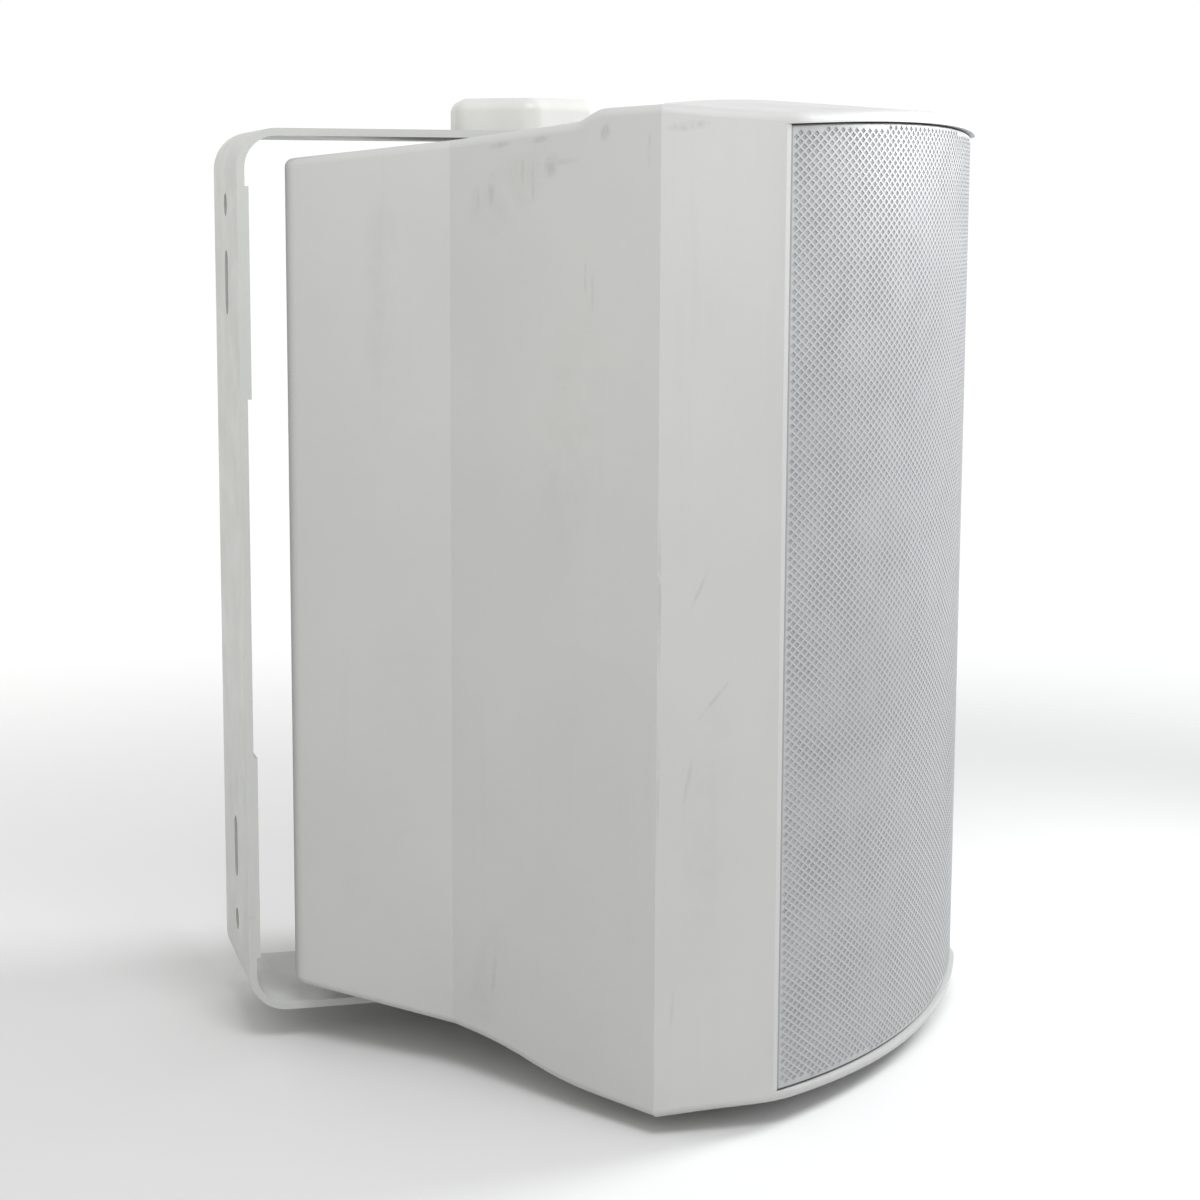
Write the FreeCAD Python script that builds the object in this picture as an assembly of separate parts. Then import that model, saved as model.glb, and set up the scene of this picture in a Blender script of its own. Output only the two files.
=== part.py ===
import FreeCAD, Part
import math
import os

from FreeCAD import Vector

# Two-way wall speaker on a swivelling strap bracket. Millimetres, +Z up, front towards -Y.
# The origin is the middle of the bracket's wall face. The cabinet is drawn about the pivot
# axis, straight ahead, and then turned and moved to its place in the bracket.

# Bracket strap
strap_width = 56.0
strap_thickness = 2.3
arm_gap = 269.0
bend_radius = 12.0
pivot_reach = 95.0
swivel_at_rest = -40.6
wall_slot_spacing = 180.0
wall_slot_length = 20.0
wall_hole_radius = 3.5
wall_hole_spacing = 228.0
stiffener_thickness = 1.2
stiffener_low = 55.5
stiffener_high = 119.5

# Cabinet outline: widths and heights at each reach in front of the pivot axis
rear_reach = 44.0
rear_width = 152.0
rear_height = 255.0
waist_reach = 16.0
waist_width = 157.0
seam_reach = 94.5
seam_width = 209.0
seam_height = 282.4
hood_rise = 4.0
upper_foot_back = 32.5
upper_foot_height = 273.6
lower_foot_ahead = 6.0
lower_foot_height = 266.0
step_top_back = 19.5
step_top_height = 281.2
front_depth = 29.0
front_edge_width = 164.0
crown_rise = 13.2
front_corner_radius = 25.0
lip_depth = 11.5
lip_rise = 0.6
lip_drop = 8.2
wall = 3.0
rear_corner_radius = 6.0
edge_radius = 2.6

# Front baffle and grille
baffle_thickness = 4.0
pocket_width = 161.0
pocket_height = 277.2
pocket_drop = 2.2
grille_setback = 1.5
grille_sheet = 1.0
cloth_thickness = 0.5
fit_gap = 0.3
film_gap = 0.1
seal_width = 1.4
seal_depth = 1.2
cut_over = 1.0
cabinet_screw_x = 74.5
cabinet_screw_z = (-118.0, 0.0, 118.0)
post_radius = 4.5
cabinet_boss_length = 28.0

# Screws
screw_radius = 1.7
screw_head_radius = 3.4
screw_head_height = 2.2
screw_clearance = 0.1

# Woofer, measured from the front of the baffle plate unless named otherwise
woofer_z = -52.0
woofer_flange_radius = 69.0
woofer_hole_radius = 61.5
woofer_flange_thickness = 2.2
woofer_screw_circle = 65.8
basket_sheet = 1.2
basket_ledge_depth = 26.0
basket_ledge_radius = 46.8
basket_ledge_width = 5.3
basket_throat_gap = 1.3
basket_rear_depth = 41.0
basket_rear_radius = 34.0
cone_radius = 51.2
cone_neck_depth = 19.2
cone_sheet = 0.9
surround_roll_radius = 4.3
surround_sheet = 0.6
surround_lip_radius = 62.0
coil_radius = 16.2
coil_former_sheet = 0.4
coil_winding = 0.7
coil_winding_height = 12.0
magnetic_gap = 0.4
top_plate_thickness = 5.0
top_plate_radius = 36.0
magnet_radius = 42.0
magnet_bore = 22.0
magnet_thickness = 14.0
yoke_thickness = 6.0
spider_sheet = 0.8
spider_folds = 8
dust_cap_radius = 20.5
dust_cap_height = 6.2

# Tweeter
tweeter_z = 78.0
tweeter_flange_radius = 46.0
tweeter_hole_radius = 37.0
tweeter_flange_thickness = 3.0
tweeter_body_depth = 5.0
tweeter_horn_radius = 38.0
tweeter_throat_radius = 14.8
tweeter_screw_circle = 41.5
tweeter_magnet_radius = 34.0
tweeter_magnet_depth = 16.0
dome_radius = 13.5
dome_height = 6.0
dome_sheet = 0.5

# Crossover board and line transformer on the rear wall
board_z = 80.0
board_width = 90.0
board_height = 60.0
board_thickness = 1.6
board_post_length = 6.0
board_screw_inset = 6.0
inductor_x = -22.5
inductor_radius = 15.0
inductor_bore = 6.0
inductor_height = 15.0
capacitor_x = 3.8
capacitor_rise = 10.0
capacitor_radius = 7.5
capacitor_length = 30.0
resistor_x = 7.5
resistor_drop = 15.0
resistor_length = 22.5
resistor_side = 10.0
transformer_z = 8.0
core_width = 50.0
core_height = 42.0
core_stack = 18.0
core_leg = 17.0
core_window = 8.2
core_yoke = 8.0
coil_overhang = 8.0
core_ear = 9.0
core_ear_sheet = 2.0
transformer_post_length = 11.0

# Terminal cup in the rear wall
cup_z = -60.0
cup_plate_width = 94.0
cup_plate_height = 74.0
cup_plate_thickness = 2.0
cup_width = 78.0
cup_height = 58.0
cup_depth = 20.0
cup_wall = 2.0
cup_screw_inset = 4.0
block_x = -17.0
block_width = 35.0
block_height = 30.0
block_depth = 5.0
ear_pitch = 16.0
ear_thickness = 2.4
ear_depth = 14.0
pin_radius = 1.0
pin_drop = 9.0
lever_width = 12.6
lever_length = 20.0
lever_thickness = 2.4
lever_barrel_radius = 2.4
running_clearance = 0.06
wire_hole_radius = 1.7
tap_x = 20.0
tap_knob_radius = 9.0
tap_knob_height = 10.0
tap_disc_height = 6.0
tap_shaft_radius = 3.0
tap_switch_radius = 13.0
tap_switch_depth = 14.0

# Pivot hardware at the top and bottom
stud_radius = 4.0
arm_hole_radius = 4.4
insert_radius = 6.0
insert_length = 15.0
boss_radius = 13.0
boss_core_radius = 10.0
boss_core_depth = 18.0
washer_thickness = 2.0
knob_across_flats = 45.0
knob_height = 10.2
knob_corner_radius = 7.0
knob_edge_radius = 4.0
knob_angle = -8.0

# Places worked out from the sizes above, along Y in the cabinet's own frame
front_edge_reach = seam_reach + front_depth
crown_reach = front_edge_reach + crown_rise
lip_reach = front_edge_reach - lip_depth
hood_height = seam_height + 2 * hood_rise
lip_height = seam_height + 2 * lip_rise
rear_y = rear_reach
rear_inner_y = rear_reach - wall
seam_y = -seam_reach
baffle_y = -lip_reach
baffle_back_y = baffle_y + baffle_thickness
arm_inner_z = arm_gap / 2
arm_outer_z = arm_inner_z + strap_thickness
boss_top_z = arm_inner_z - washer_thickness - film_gap
screw_hole_radius = screw_radius + screw_clearance
Z_AXIS = Vector(0, 0, 1)
Y_AXIS = Vector(0, 1, 0)
ORIGIN = Vector(0, 0, 0)


# Small builders
def block(x, y, z):
    """A box between the low and high value of each axis."""
    size = [max(pair) - min(pair) for pair in (x, y, z)]
    return Part.makeBox(*size, Vector(min(x), min(y), min(z)))


def rod(radius, start, end):
    """A round bar from start to end."""
    along = end.sub(start)
    return Part.makeCylinder(radius, along.Length, start, along)


def pipe(outer, inner, start, end):
    return rod(outer, start, end).cut(rod(inner, start, end))


def polygon_face(points):
    return Part.Face(Part.makePolygon(points + points[:1]))


def upright_prism(points, half_height):
    """Extrudes an outline of (x, y) points evenly above and below mid-height."""
    face = polygon_face([Vector(x, y, -half_height) for x, y in points])
    return face.extrude(Vector(0, 0, 2 * half_height))


def turned(points, axis_z):
    """Turns an outline of (radius, y) points about a driver's axis, which runs along Y."""
    face = polygon_face([Vector(radius, y, axis_z) for radius, y in points])
    return face.revolve(Vector(0, 0, axis_z), Y_AXIS, 360)


def ring_points(count, radius, axis_z, y, first_angle=45.0):
    """Points spread evenly on a circle about a driver's axis."""
    angles = [math.radians(first_angle + 360.0 * i / count) for i in range(count)]
    return [Vector(radius * math.cos(a), y, axis_z + radius * math.sin(a)) for a in angles]


def screw(seat, direction, length):
    """A pan-head screw whose head lies on seat and whose shank runs along direction."""
    head = rod(screw_head_radius, seat, seat - direction * screw_head_height)
    return head.fuse(rod(screw_radius, seat, seat + direction * length)).removeSplitter()


def screw_holes(seats, direction, length):
    return [rod(screw_hole_radius, seat, seat + direction * length) for seat in seats]


def slope_between(low, high, at):
    """The value at a place on the straight line between two (place, value) pairs."""
    share = (at - low[0]) / (high[0] - low[0])
    return low[1] + share * (high[1] - low[1])


# Cabinet outline
def side_inset(inset, reach_span, width_span):
    """How far a slanted side moves across when its wall moves in by inset."""
    return inset * math.hypot(1.0, width_span / 2 / reach_span)


def rear_plan(inset):
    """Half outline of the rear cabinet seen from above, from the rear wall to the seam."""
    flare = side_inset(inset, seam_reach - waist_reach, seam_width - waist_width)
    return [
        (rear_width / 2 - inset, rear_y - inset),
        (waist_width / 2 - inset, -waist_reach),
        (seam_width / 2 - flare, seam_y),
    ]


def mirrored(half):
    return half + [(-x, y) for x, y in reversed(half)]


def profile_edges(foot_back, foot_height, inset):
    """Upper edge of the side view: a long slope, an S-shaped rise, a flat to the seam."""
    rear = Vector(0, rear_y - inset, rear_height / 2 - inset)
    foot = Vector(0, seam_y + foot_back, foot_height / 2 - inset)
    top = Vector(0, seam_y + step_top_back, step_top_height / 2 - inset)
    seam = Vector(0, seam_y, seam_height / 2 - inset)
    bulge = (foot_back - step_top_back) / 2
    leave = foot.sub(rear).normalize() * bulge
    arrive = seam.sub(top).normalize() * bulge
    step = Part.BezierCurve()
    step.setPoles([foot, foot.add(leave), top.sub(arrive), top])
    return [Part.makeLine(rear, foot), step.toShape(), Part.makeLine(top, seam)]


def rear_profile(inset):
    """Face of the rear cabinet's side view: the rise is short above and long below."""
    upper = profile_edges(upper_foot_back, upper_foot_height, inset)
    under_back = seam_reach - waist_reach - lower_foot_ahead
    under = profile_edges(under_back, lower_foot_height, inset)
    lower = [edge.mirror(ORIGIN, Z_AXIS) for edge in under]
    places = ((rear_y - inset, rear_height / 2 - inset), (seam_y, seam_height / 2 - inset))
    ends = [Part.makeLine(Vector(0, y, z), Vector(0, y, -z)) for y, z in places]
    return Part.Face(Part.Wire(Part.__sortEdges__(upper + lower + ends)))


def rear_block(inset, corner_radius):
    """The rear cabinet as a full block, drawn in by inset all round but at the seam."""
    prism = upright_prism(mirrored(rear_plan(inset)), lip_height)
    corners = [
        edge for edge in prism.Edges
        if edge.BoundBox.ZLength > lip_height and edge.BoundBox.YMin > -waist_reach
    ]
    prism = prism.makeFillet(corner_radius, corners)
    profile = rear_profile(inset).extrude(Vector(2 * seam_width, 0, 0))
    profile.translate(Vector(-seam_width, 0, 0))
    return prism.common(profile)


def outer_edges(body, open_y, keep_y):
    """The edges round the top and bottom of a block, without upright, open or crossing ones."""
    chosen = []
    for edge in body.Edges:
        box = edge.BoundBox
        upright = box.ZLength > edge_radius * 4 and box.XLength < 1 and box.YLength < 1
        on_open = abs(box.YMin - open_y) < 0.01 and abs(box.YMax - open_y) < 0.01
        crossing = box.XLength > pocket_width / 2 and box.YLength < 0.01
        kept = crossing and abs(box.YMin - keep_y) < 0.01
        if not upright and not on_open and (kept or not crossing):
            chosen.append(edge)
    return chosen


def crown_radius():
    half = front_edge_width / 2
    rise = crown_reach - front_edge_reach
    return (half * half + rise * rise) / (2 * rise)


def crowned_prism(half_width, setback, back_y, half_height):
    """A block with straight sides and a curved front, set back from the crown of the lips."""
    radius = crown_radius() - setback
    centre_y = -(crown_reach - crown_radius())
    depth = math.sqrt(radius * radius - half_width * half_width)
    left = Vector(-half_width, centre_y - depth, -half_height)
    right = Vector(half_width, centre_y - depth, -half_height)
    middle = Vector(0, centre_y - radius, -half_height)
    back_left = Vector(-half_width, back_y, -half_height)
    back_right = Vector(half_width, back_y, -half_height)
    edges = [
        Part.Arc(left, middle, right).toShape(),
        Part.makeLine(right, back_right),
        Part.makeLine(back_right, back_left),
        Part.makeLine(back_left, left),
    ]
    return Part.Face(Part.Wire(edges)).extrude(Vector(0, 0, 2 * half_height))


def front_half_width(reach, inset):
    """Half the width between the front facets at a reach, drawn in by inset."""
    span = front_edge_reach - seam_reach
    half = slope_between((seam_reach, seam_width / 2), (front_edge_reach, front_edge_width / 2), reach)
    return half - side_inset(inset, span, seam_width - front_edge_width)


def arched_wire(half_width, half_height, drop, y):
    """An upright outline across the cabinet, with its top and bottom drop higher in the middle."""
    side = half_height - drop
    left, right = Vector(-half_width, y, side), Vector(half_width, y, side)
    if drop > 0:
        top = Part.Arc(left, Vector(0, y, half_height), right).toShape()
    else:
        top = Part.makeLine(left, right)
    bottom = top.mirror(ORIGIN, Z_AXIS)
    ends = [Part.makeLine(Vector(p.x, y, -side), p) for p in (left, right)]
    return Part.Wire(Part.__sortEdges__([ends[0], top, ends[1], bottom]))


def arched_block(half_height, start_y):
    """The space inside the lips, or one drawn in from it, ahead of start_y."""
    face = Part.Face(arched_wire(pocket_width / 2, half_height, pocket_drop, start_y))
    return face.extrude(Vector(0, -crown_reach - wall - start_y, 0))


def front_corner():
    """The rounded corner between the right facet and the crown: its ends and its middle."""
    low_z = -lip_height
    start = Vector(seam_width / 2, seam_y, low_z)
    along = Vector(front_edge_width / 2, -front_edge_reach, low_z).sub(start).normalize()
    inward = Vector(along.y, -along.x, 0)
    crown_centre = Vector(0, crown_radius() - crown_reach, low_z)
    reach = crown_radius() - front_corner_radius
    offset = start.add(inward * front_corner_radius).sub(crown_centre)
    ahead = offset.dot(along)
    centre = crown_centre.add(offset).add(
        along * (math.sqrt(ahead * ahead - offset.dot(offset) + reach * reach) - ahead)
    )
    on_facet = centre.sub(inward * front_corner_radius)
    on_crown = crown_centre.add(centre.sub(crown_centre) * (crown_radius() / reach))
    halfway = on_facet.add(on_crown) * 0.5
    middle = centre.add(halfway.sub(centre).normalize() * front_corner_radius)
    return start, on_facet, middle, on_crown


def front_plan():
    """Outline of the front seen from above: slanted facets, rounded corners, a crowned face."""
    right = front_corner()
    left = [Vector(-p.x, p.y, p.z) for p in right]
    crown = Vector(0, -crown_reach, right[0].z)
    edges = [
        Part.makeLine(left[0], right[0]),
        Part.makeLine(right[0], right[1]),
        Part.Arc(right[1], right[2], right[3]).toShape(),
        Part.Arc(right[3], crown, left[3]).toShape(),
        Part.Arc(left[3], left[2], left[1]).toShape(),
        Part.makeLine(left[1], left[0]),
    ]
    return Part.Face(Part.Wire(edges))


def front_block():
    """The front of the cabinet as a full block: its outline from above between arched lips."""
    full = front_plan().extrude(Vector(0, 0, 2 * lip_height))
    reach = seam_width / 2 + wall
    hood_drop = hood_rise * (2 * reach / seam_width) ** 2
    seam = arched_wire(reach, hood_height / 2, hood_drop, seam_y)
    lips = arched_wire(reach, lip_height / 2, lip_drop, -crown_reach - wall)
    return full.common(Part.makeLoft([seam, lips], True, True))


# Cabinet pieces
def boss_seats(y):
    return [Vector(side * cabinet_screw_x, y, z) for side in (-1, 1) for z in cabinet_screw_z]


def board_seats(y):
    across = board_width / 2 - board_screw_inset
    up = board_height / 2 - board_screw_inset
    return [Vector(sx * across, y, board_z + sz * up) for sx in (-1, 1) for sz in (-1, 1)]


def transformer_seats(y):
    across = core_width / 2 + core_ear / 2
    return [Vector(side * across, y, transformer_z) for side in (-1, 1)]


def cup_seats(y):
    across = cup_plate_width / 2 - cup_screw_inset
    up = cup_plate_height / 2 - cup_screw_inset
    return [Vector(sx * across, y, cup_z + sz * up) for sx in (-1, 1) for sz in (-1, 1)]


def seam_ring(inset, depth):
    """A slab of the cabinet just behind the seam, drawn in by inset."""
    slab = block((-seam_width, seam_width), (seam_y, seam_y + depth), (-lip_height, lip_height))
    return rear_block(inset, rear_corner_radius - inset).common(slab)


def seam_seal():
    return seam_ring(wall - seal_width, seal_depth).cut(seam_ring(wall, seal_depth))


def rear_hood(sign):
    """The low crown on the rear cabinet that rises to the front's arched top or bottom."""
    half = seam_width / 2 - edge_radius
    sections = []
    for y, side in ((seam_y, seam_height / 2), (seam_y + upper_foot_back, upper_foot_height / 2)):
        left, right = Vector(-half, y, side), Vector(half, y, side)
        base = Vector(0, 0, -wall / 2)
        if y == seam_y:
            roof = Part.Arc(left, Vector(0, y, hood_height / 2), right).toShape()
        else:
            roof = Part.makeLine(left, right)
        sections.append(Part.Wire([
            Part.makeLine(left.add(base), left),
            roof,
            Part.makeLine(right, right.add(base)),
            Part.makeLine(right.add(base), left.add(base)),
        ]))
    crown = Part.makeLoft(sections, True, True)
    crown = crown.common(upright_prism(mirrored(rear_plan(edge_radius)), hood_height))
    return crown if sign > 0 else crown.mirror(ORIGIN, Z_AXIS)


def rear_cabinet():
    outer = rear_block(0.0, rear_corner_radius)
    outer = outer.makeFillet(edge_radius, outer_edges(outer, seam_y, rear_y))
    shell = outer.cut(rear_block(wall, rear_corner_radius - wall))
    added = []
    for seat in boss_seats(seam_y):
        back = seat.add(Vector(0, cabinet_boss_length, 0))
        added.append(rod(post_radius, seat, back))
        side = math.copysign(1.0, seat.x)
        wall_x = side * (front_half_width(seam_reach, wall / 2) - seal_width)
        added.append(block((seat.x, wall_x), (seat.y, back.y), (seat.z - wall / 2, seat.z + wall / 2)))
    for seat in board_seats(rear_inner_y):
        added.append(rod(post_radius, seat, seat.sub(Vector(0, board_post_length, 0))))
    for seat in transformer_seats(rear_inner_y):
        added.append(rod(post_radius, seat, seat.sub(Vector(0, transformer_post_length, 0))))
    for sign in (-1, 1):
        top = Vector(0, 0, sign * boss_top_z)
        roof = Vector(0, 0, sign * (boss_top_z - boss_core_depth))
        added.append(rod(boss_core_radius, roof, top))
    full = rear_block(0.0, rear_corner_radius)
    inside = shell.fuse([piece.common(full) for piece in added])
    collars = [
        rod(boss_radius, Vector(0, 0, sign * (rear_height / 2)), Vector(0, 0, sign * boss_top_z))
        for sign in (-1, 1)
    ]
    body = inside.fuse(collars + [rear_hood(1), rear_hood(-1)])
    cuts = [seam_seal()]
    cuts += screw_holes(boss_seats(seam_y), Y_AXIS, cabinet_boss_length - wall)
    cuts += screw_holes(board_seats(rear_inner_y - board_post_length), Y_AXIS, board_post_length)
    transformer_tops = transformer_seats(rear_inner_y - transformer_post_length)
    cuts += screw_holes(transformer_tops, Y_AXIS, board_post_length)
    cuts += screw_holes(cup_seats(rear_y), Y_AXIS * -1, wall)
    for sign in (-1, 1):
        start = Vector(0, 0, sign * boss_top_z)
        cuts.append(rod(insert_radius, start, Vector(0, 0, sign * (boss_top_z - insert_length))))
    cuts.append(block(
        (-cup_width / 2 - fit_gap, cup_width / 2 + fit_gap),
        (rear_inner_y - cut_over, rear_y + cut_over),
        (cup_z - cup_height / 2 - fit_gap, cup_z + cup_height / 2 + fit_gap),
    ))
    return body.cut(cuts).removeSplitter()


def side_relief():
    """The space ahead of the grille's surface, which leaves the sides flush with the grille."""
    half_height = pocket_height / 2 - pocket_drop
    ahead = block(
        (-seam_width / 2, seam_width / 2), (-crown_reach - wall, baffle_y), (-half_height, half_height)
    )
    return ahead.cut(crowned_prism(seam_width / 2, grille_setback, baffle_y, lip_height))


def front_baffle():
    outer = front_block()
    rim = []
    for edge in outer.Edges:
        if edge.BoundBox.YMin < seam_y - wall and edge.BoundBox.ZLength < rear_height / 2:
            rim.append(edge)
    outer = outer.makeFillet(edge_radius, rim)
    pocket = arched_block(pocket_height / 2, baffle_y)
    hollow_half = [
        (front_half_width(seam_reach, wall), seam_y),
        (front_half_width(-baffle_back_y, wall), baffle_back_y),
    ]
    hollow = upright_prism(mirrored(hollow_half), seam_height / 2 - wall)
    posts = [rod(post_radius, seat, Vector(seat.x, baffle_back_y, seat.z)) for seat in boss_seats(seam_y)]
    body = outer.cut([pocket, hollow, side_relief()]).fuse(posts)
    ahead, behind = baffle_y - cut_over, baffle_back_y + cut_over
    cuts = [
        rod(woofer_hole_radius, Vector(0, ahead, woofer_z), Vector(0, behind, woofer_z)),
        rod(tweeter_hole_radius, Vector(0, ahead, tweeter_z), Vector(0, behind, tweeter_z)),
    ]
    cuts += screw_holes(boss_seats(baffle_y), Y_AXIS, lip_reach - seam_reach)
    driver_seats = ring_points(4, woofer_screw_circle, woofer_z, baffle_y)
    driver_seats += ring_points(4, tweeter_screw_circle, tweeter_z, baffle_y)
    cuts += screw_holes(driver_seats, Y_AXIS, baffle_thickness)
    return body.cut(cuts).removeSplitter()


def cabinet_screws():
    length = lip_reach - seam_reach + cabinet_boss_length - 2 * wall
    return Part.makeCompound([screw(seat, Y_AXIS, length) for seat in boss_seats(baffle_y)])


def grille():
    """A curved steel tray whose rim rests on the baffle plate, inside the lips."""
    half_width = pocket_width / 2 - fit_gap
    half_height = pocket_height / 2 - fit_gap
    outer = crowned_prism(half_width, grille_setback, baffle_y, lip_height)
    inner = crowned_prism(half_width - grille_sheet, grille_setback + grille_sheet, baffle_y, lip_height)
    tray = outer.common(arched_block(half_height, baffle_y))
    return tray.cut(inner.common(arched_block(half_height - grille_sheet, baffle_y)))


def grille_cloth():
    edge = fit_gap + grille_sheet + film_gap
    half_width = pocket_width / 2 - edge
    setback = grille_setback + grille_sheet + film_gap
    outer = crowned_prism(half_width, setback, baffle_y, lip_height)
    inner = crowned_prism(half_width + wall, setback + cloth_thickness, rear_y, lip_height)
    return outer.common(arched_block(pocket_height / 2 - edge, baffle_y)).cut(inner)


# Woofer pieces, from the flange back to the magnet
woofer_face_y = baffle_y - woofer_flange_thickness
ledge_y = baffle_y + basket_ledge_depth
basket_rear_y = baffle_y + basket_rear_depth
magnet_front_y = basket_rear_y + top_plate_thickness
magnet_back_y = magnet_front_y + magnet_thickness
cone_neck_y = baffle_y + cone_neck_depth
coil_outer_radius = coil_radius + coil_former_sheet
winding_radius = coil_outer_radius + coil_winding
gap_outer_radius = winding_radius + magnetic_gap


def woofer_basket():
    ledge_inner = basket_ledge_radius - basket_ledge_width
    throat = gap_outer_radius + basket_throat_gap
    mouth = woofer_hole_radius - fit_gap
    front = [
        (woofer_flange_radius, baffle_y),
        (woofer_flange_radius, woofer_face_y),
        (mouth - basket_sheet, woofer_face_y),
        (mouth - basket_sheet, baffle_y),
        (basket_ledge_radius, ledge_y - basket_sheet),
        (ledge_inner, ledge_y - basket_sheet),
        (basket_rear_radius, basket_rear_y - basket_sheet),
        (throat, basket_rear_y - basket_sheet),
    ]
    back = [
        (throat, basket_rear_y),
        (basket_rear_radius + basket_sheet, basket_rear_y),
        (ledge_inner + basket_sheet, ledge_y),
        (basket_ledge_radius + basket_sheet, ledge_y),
        (mouth, baffle_y),
    ]
    basket = turned(front + back, woofer_z)
    window = block(
        (basket_rear_radius, woofer_flange_radius),
        (baffle_y + 2 * baffle_thickness, ledge_y - 2 * baffle_thickness),
        (woofer_z - basket_rear_radius / 2, woofer_z + basket_rear_radius / 2),
    )
    windows = []
    for quarter in range(4):
        turned_window = window.copy()
        turned_window.rotate(Vector(0, 0, woofer_z), Y_AXIS, 90 * quarter)
        windows.append(turned_window)
    seats = ring_points(4, woofer_screw_circle, woofer_z, woofer_face_y)
    return basket.cut(windows + screw_holes(seats, Y_AXIS, baffle_thickness))


def woofer_gasket():
    ring = pipe(
        woofer_flange_radius,
        surround_lip_radius + fit_gap,
        Vector(0, woofer_face_y, woofer_z),
        Vector(0, woofer_face_y - screw_head_height, woofer_z),
    )
    seats = ring_points(4, woofer_screw_circle, woofer_z, woofer_face_y)
    reliefs = [
        rod(screw_head_radius + fit_gap, seat, seat.sub(Vector(0, screw_head_height, 0))) for seat in seats
    ]
    return ring.cut(reliefs)


def woofer_surround():
    """A half roll between the cone's edge and the flange, with a lip glued to the flange."""
    inner_edge = cone_radius + fit_gap
    middle = inner_edge + surround_roll_radius
    outer_edge = middle + surround_roll_radius
    bore = surround_roll_radius - surround_sheet
    roll = Part.makeTorus(middle, surround_roll_radius, Vector(0, woofer_face_y, woofer_z), Y_AXIS)
    roll = roll.cut(Part.makeTorus(middle, bore, Vector(0, woofer_face_y, woofer_z), Y_AXIS))
    ahead = block(
        (-woofer_flange_radius, woofer_flange_radius),
        (woofer_face_y, woofer_face_y - 2 * surround_roll_radius),
        (woofer_z - woofer_flange_radius, woofer_z + woofer_flange_radius),
    )
    lip = pipe(
        surround_lip_radius,
        outer_edge - surround_sheet / 2,
        Vector(0, woofer_face_y, woofer_z),
        Vector(0, woofer_face_y - surround_sheet, woofer_z),
    )
    return roll.common(ahead).fuse(lip).removeSplitter()


def woofer_cone():
    neck = coil_outer_radius + film_gap
    edge_y = woofer_face_y + cone_sheet
    return turned([
        (neck, cone_neck_y),
        (cone_radius, edge_y),
        (cone_radius, edge_y - cone_sheet),
        (neck, cone_neck_y - cone_sheet),
    ], woofer_z)


def domed_shell(radius, height, sheet, base_y, axis_z):
    """A thin spherical cap that bulges towards the front from base_y."""
    ball = (radius * radius + height * height) / (2 * height)
    centre = Vector(0, base_y - height + ball, axis_z)
    shell = Part.makeSphere(ball, centre).cut(Part.makeSphere(ball - sheet, centre))
    room = 2 * radius
    ahead = block((-room, room), (base_y, base_y - 2 * height), (axis_z - room, axis_z + room))
    return shell.common(ahead)


def woofer_dust_cap():
    neck = (coil_outer_radius + film_gap, cone_neck_y - cone_sheet)
    edge = (cone_radius, woofer_face_y)
    seat_y = slope_between(neck, edge, dust_cap_radius) - fit_gap
    return domed_shell(dust_cap_radius, dust_cap_height, cone_sheet, seat_y, woofer_z)


def woofer_voice_coil():
    tail_y = magnet_front_y + coil_winding_height / 2
    front = Vector(0, cone_neck_y - cone_sheet, woofer_z)
    tail = Vector(0, tail_y, woofer_z)
    former = pipe(coil_outer_radius, coil_radius, front, tail)
    start = Vector(0, tail_y - coil_winding_height, woofer_z)
    return former.fuse(pipe(winding_radius, coil_radius, start, tail)).removeSplitter()


def woofer_spider():
    """A corrugated disc glued to the basket's ledge."""
    start = coil_outer_radius + fit_gap
    seat_y = ledge_y - basket_sheet
    pitch = (basket_ledge_radius - fit_gap - start) / spider_folds
    back = []
    for i in range(spider_folds + 1):
        lift = spider_sheet if i % 2 and i < spider_folds - 1 else 0.0
        back.append((start + i * pitch, seat_y - lift))
    front = [(radius, y - spider_sheet) for radius, y in reversed(back)]
    return turned(back + front, woofer_z)


def woofer_top_plate():
    start = Vector(0, basket_rear_y, woofer_z)
    return pipe(top_plate_radius, gap_outer_radius, start, Vector(0, magnet_front_y, woofer_z))


def woofer_magnet():
    start = Vector(0, magnet_front_y, woofer_z)
    return pipe(magnet_radius, magnet_bore, start, Vector(0, magnet_back_y, woofer_z))


def woofer_yoke():
    start = Vector(0, magnet_back_y, woofer_z)
    plate = rod(top_plate_radius, start, Vector(0, magnet_back_y + yoke_thickness, woofer_z))
    pole = rod(coil_radius - magnetic_gap, Vector(0, basket_rear_y, woofer_z), start)
    return plate.fuse(pole).removeSplitter()


def ring_of_screws(count, circle, axis_z, face_y):
    seats = ring_points(count, circle, axis_z, face_y)
    return Part.makeCompound([screw(seat, Y_AXIS, 3 * baffle_thickness) for seat in seats])


# Tweeter pieces
tweeter_face_y = baffle_y - tweeter_flange_thickness
tweeter_back_y = baffle_y + tweeter_body_depth


def tweeter_faceplate():
    """A round flange with a shallow horn and a short collar through the baffle."""
    throat_y = baffle_y + baffle_thickness / 2
    plate = turned([
        (tweeter_flange_radius, baffle_y),
        (tweeter_flange_radius, tweeter_face_y),
        (tweeter_horn_radius, tweeter_face_y),
        (tweeter_throat_radius, throat_y),
        (tweeter_throat_radius, tweeter_back_y),
        (tweeter_hole_radius - fit_gap, tweeter_back_y),
        (tweeter_hole_radius - fit_gap, baffle_y),
    ], tweeter_z)
    seats = ring_points(4, tweeter_screw_circle, tweeter_z, tweeter_face_y)
    return plate.cut(screw_holes(seats, Y_AXIS, tweeter_flange_thickness))


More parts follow.
